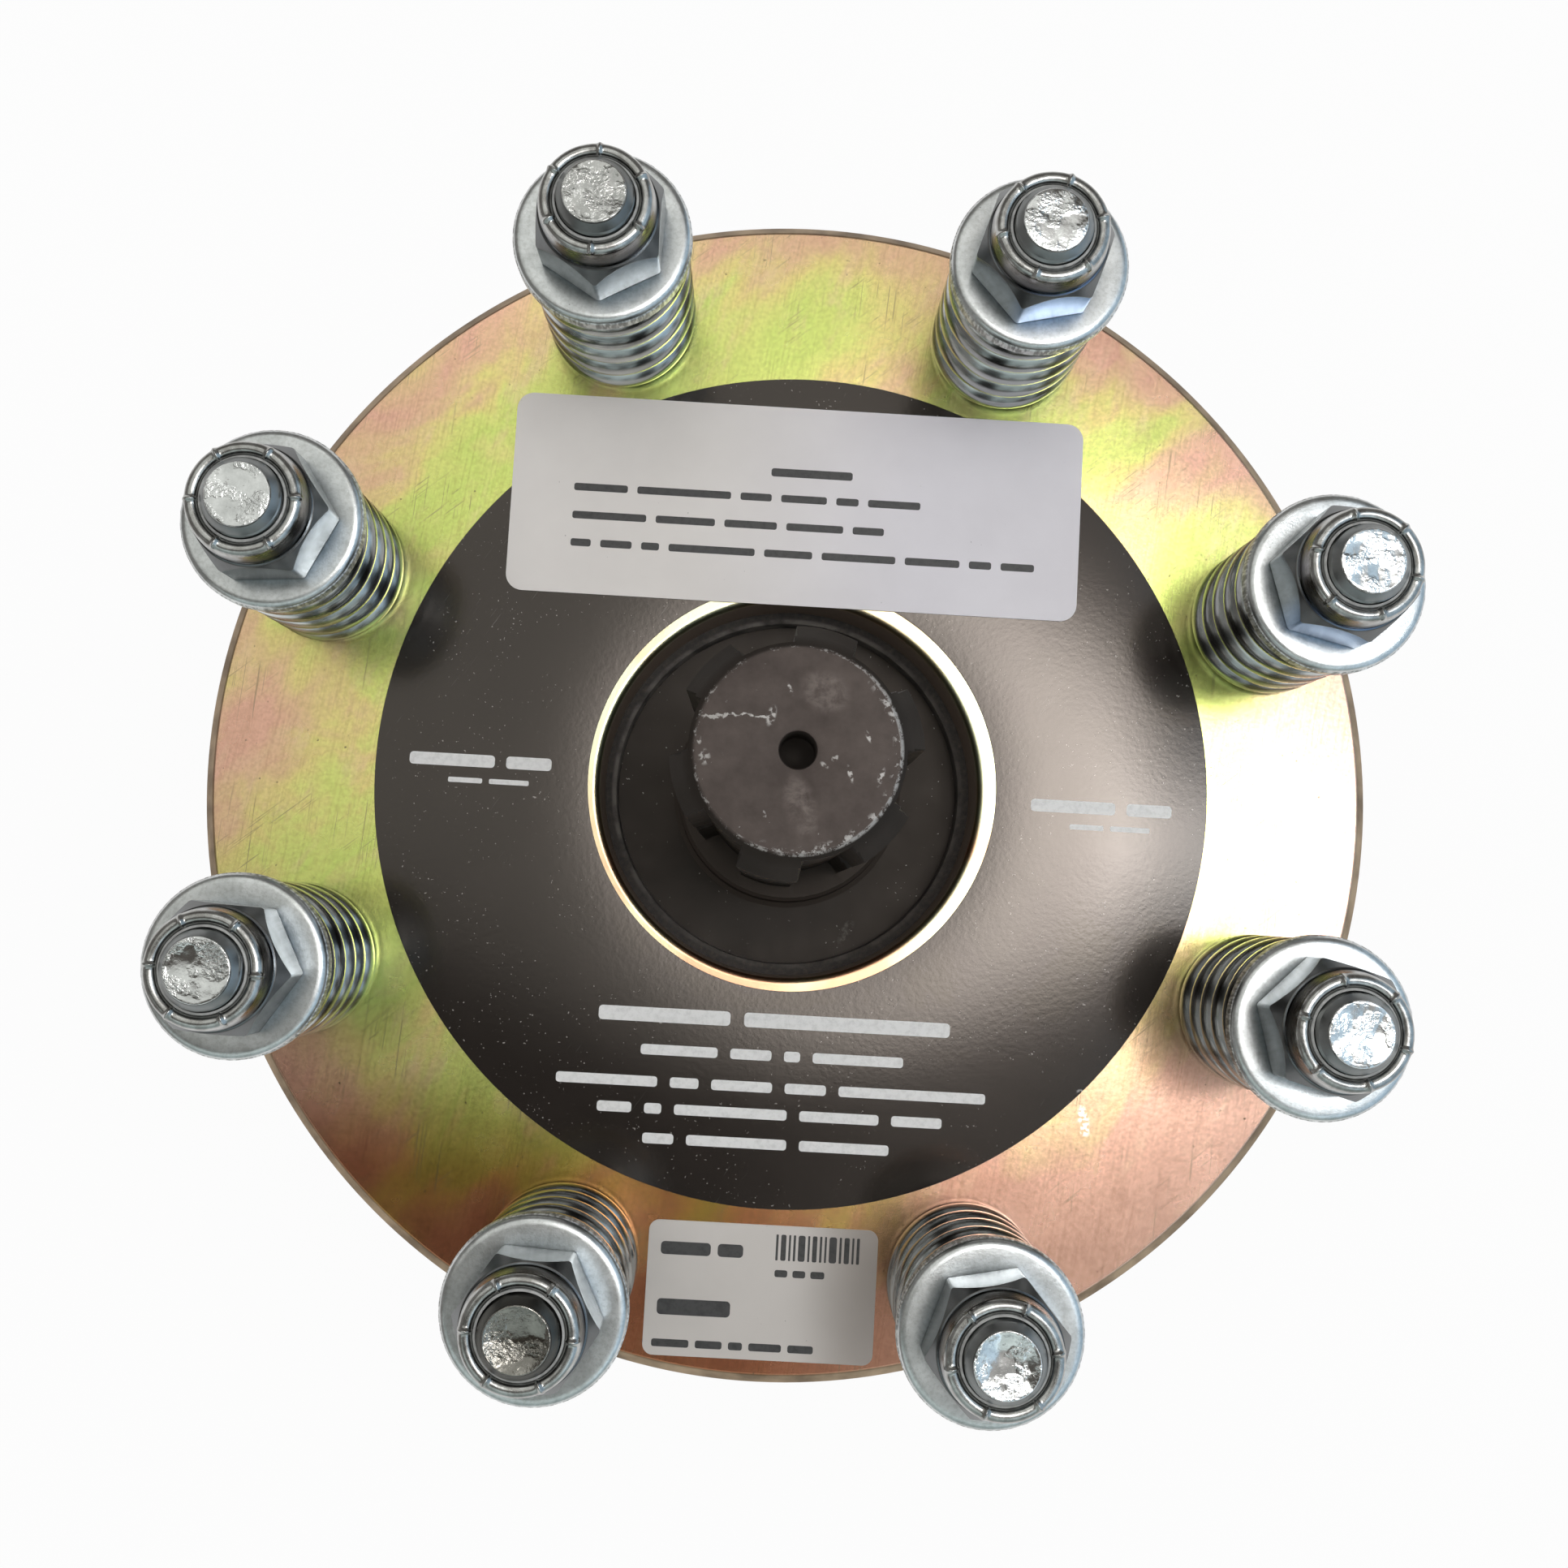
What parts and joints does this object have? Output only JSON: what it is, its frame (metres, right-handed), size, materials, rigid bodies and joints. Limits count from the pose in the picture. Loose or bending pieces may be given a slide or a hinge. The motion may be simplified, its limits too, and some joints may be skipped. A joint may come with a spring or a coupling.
{
  "type": "torque limiter",
  "caption": "Friction slip clutch for a power take-off drive: sprung bolts clamp a round pressure plate on friction discs round a splined output shaft, with a splined clamp hub behind.",
  "frame": {"origin": "middle of the hub's end face, which the part stands on", "axes": "+Z along the shaft axis towards the output shaft's end, +Y towards the clamp boss of the hub and the wide label"},
  "size_m": [0.206, 0.206, 0.1836],
  "materials": {
    "black_paint": "satin black paint with dust",
    "worn_black": "black paint, scuffed to bare steel on the edges",
    "bronze": "machined bronze",
    "zinc_steel": "bright zinc plate",
    "zinc_nut": "bright zinc plate, slightly oily",
    "spring_steel": "bright zinc plate on round wire",
    "yellow_zinc": "yellow chromate on zinc, with pink and green bloom",
    "friction_lining": "moulded friction lining",
    "nylon": "dark nylon",
    "black_film": "satin black film",
    "grey_label": "pale silver-grey film, bare",
    "white_label": "white film, bare"
  },
  "bodies": {
    "housing": {"flange_hub": "black_paint", "pilot_bush": "bronze", "cotter_bolt": "zinc_steel", "cotter_washer": "zinc_steel", "cotter_nut": "zinc_steel", "rear_friction_disc": "friction_lining", "front_friction_disc": "friction_lining", "pressure_plate": "yellow_zinc", "ring_decal": "black_film", "wide_label": "grey_label", "small_label": "white_label", "spring_bolt_1": "zinc_steel", "spring_1": "spring_steel", "spring_bolt_2": "zinc_steel", "spring_2": "spring_steel", "spring_bolt_3": "zinc_steel", "spring_3": "spring_steel", "spring_bolt_4": "zinc_steel", "spring_4": "spring_steel", "spring_bolt_5": "zinc_steel", "spring_5": "spring_steel", "spring_bolt_6": "zinc_steel", "spring_6": "spring_steel", "spring_bolt_7": "zinc_steel", "spring_7": "spring_steel", "spring_bolt_8": "zinc_steel", "spring_8": "spring_steel"},
    "rotor": {"drive_plate": "black_paint", "output_shaft": "worn_black"},
    "washer_1": {"spring_washer_1": "zinc_steel"},
    "nut_1": {"lock_nut_1": "zinc_nut", "nylon_insert_1": "nylon"},
    "washer_2": {"spring_washer_2": "zinc_steel"},
    "nut_2": {"lock_nut_2": "zinc_nut", "nylon_insert_2": "nylon"},
    "washer_3": {"spring_washer_3": "zinc_steel"},
    "nut_3": {"lock_nut_3": "zinc_nut", "nylon_insert_3": "nylon"},
    "washer_4": {"spring_washer_4": "zinc_steel"},
    "nut_4": {"lock_nut_4": "zinc_nut", "nylon_insert_4": "nylon"},
    "washer_5": {"spring_washer_5": "zinc_steel"},
    "nut_5": {"lock_nut_5": "zinc_nut", "nylon_insert_5": "nylon"},
    "washer_6": {"spring_washer_6": "zinc_steel"},
    "nut_6": {"lock_nut_6": "zinc_nut", "nylon_insert_6": "nylon"},
    "washer_7": {"spring_washer_7": "zinc_steel"},
    "nut_7": {"lock_nut_7": "zinc_nut", "nylon_insert_7": "nylon"},
    "washer_8": {"spring_washer_8": "zinc_steel"},
    "nut_8": {"lock_nut_8": "zinc_nut", "nylon_insert_8": "nylon"}
  },
  "joints": [
    {"name": "slip", "type": "hinge", "parent": "housing", "child": "rotor", "pos_m": [0, 0, 0.10055], "axis": [0, 0, 1], "continuous": true},
    {"name": "washer_lift_1", "type": "slide", "parent": "housing", "child": "washer_1", "axis": [0, 0, 1], "range_m": [0, 0.0035], "stiffness_N_per_m": 3, "springref_m": 0.09, "deforming": ["spring_1"]},
    {"name": "nut_turn_1", "type": "hinge", "parent": "washer_1", "child": "nut_1", "pos_m": [0.08343, 0.03456, 0.1511], "axis": [0, 0, 1], "range_deg": [0, 720]},
    {"name": "washer_lift_2", "type": "slide", "parent": "housing", "child": "washer_2", "axis": [0, 0, 1], "range_m": [0, 0.0035], "stiffness_N_per_m": 3, "springref_m": 0.09, "deforming": ["spring_2"]},
    {"name": "nut_turn_2", "type": "hinge", "parent": "washer_2", "child": "nut_2", "pos_m": [0.03456, 0.08343, 0.1511], "axis": [0, 0, 1], "range_deg": [0, 720]},
    {"name": "washer_lift_3", "type": "slide", "parent": "housing", "child": "washer_3", "axis": [0, 0, 1], "range_m": [0, 0.0035], "stiffness_N_per_m": 3, "springref_m": 0.09, "deforming": ["spring_3"]},
    {"name": "nut_turn_3", "type": "hinge", "parent": "washer_3", "child": "nut_3", "pos_m": [-0.03456, 0.08343, 0.1511], "axis": [0, 0, 1], "range_deg": [0, 720]},
    {"name": "washer_lift_4", "type": "slide", "parent": "housing", "child": "washer_4", "axis": [0, 0, 1], "range_m": [0, 0.0035], "stiffness_N_per_m": 3, "springref_m": 0.09, "deforming": ["spring_4"]},
    {"name": "nut_turn_4", "type": "hinge", "parent": "washer_4", "child": "nut_4", "pos_m": [-0.08343, 0.03456, 0.1511], "axis": [0, 0, 1], "range_deg": [0, 720]},
    {"name": "washer_lift_5", "type": "slide", "parent": "housing", "child": "washer_5", "axis": [0, 0, 1], "range_m": [0, 0.0035], "stiffness_N_per_m": 3, "springref_m": 0.09, "deforming": ["spring_5"]},
    {"name": "nut_turn_5", "type": "hinge", "parent": "washer_5", "child": "nut_5", "pos_m": [-0.08343, -0.03456, 0.1511], "axis": [0, 0, 1], "range_deg": [0, 720]},
    {"name": "washer_lift_6", "type": "slide", "parent": "housing", "child": "washer_6", "axis": [0, 0, 1], "range_m": [0, 0.0035], "stiffness_N_per_m": 3, "springref_m": 0.09, "deforming": ["spring_6"]},
    {"name": "nut_turn_6", "type": "hinge", "parent": "washer_6", "child": "nut_6", "pos_m": [-0.03456, -0.08343, 0.1511], "axis": [0, 0, 1], "range_deg": [0, 720]},
    {"name": "washer_lift_7", "type": "slide", "parent": "housing", "child": "washer_7", "axis": [0, 0, 1], "range_m": [0, 0.0035], "stiffness_N_per_m": 3, "springref_m": 0.09, "deforming": ["spring_7"]},
    {"name": "nut_turn_7", "type": "hinge", "parent": "washer_7", "child": "nut_7", "pos_m": [0.03456, -0.08343, 0.1511], "axis": [0, 0, 1], "range_deg": [0, 720]},
    {"name": "washer_lift_8", "type": "slide", "parent": "housing", "child": "washer_8", "axis": [0, 0, 1], "range_m": [0, 0.0035], "stiffness_N_per_m": 3, "springref_m": 0.09, "deforming": ["spring_8"]},
    {"name": "nut_turn_8", "type": "hinge", "parent": "washer_8", "child": "nut_8", "pos_m": [0.08343, -0.03456, 0.1511], "axis": [0, 0, 1], "range_deg": [0, 720]}
  ],
  "couplings": [
    {"joint": "washer_lift_1", "follows": "nut_turn_1", "m_per_rad": 0.00027852},
    {"joint": "washer_lift_2", "follows": "nut_turn_2", "m_per_rad": 0.00027852},
    {"joint": "washer_lift_3", "follows": "nut_turn_3", "m_per_rad": 0.00027852},
    {"joint": "washer_lift_4", "follows": "nut_turn_4", "m_per_rad": 0.00027852},
    {"joint": "washer_lift_5", "follows": "nut_turn_5", "m_per_rad": 0.00027852},
    {"joint": "washer_lift_6", "follows": "nut_turn_6", "m_per_rad": 0.00027852},
    {"joint": "washer_lift_7", "follows": "nut_turn_7", "m_per_rad": 0.00027852},
    {"joint": "washer_lift_8", "follows": "nut_turn_8", "m_per_rad": 0.00027852}
  ]
}
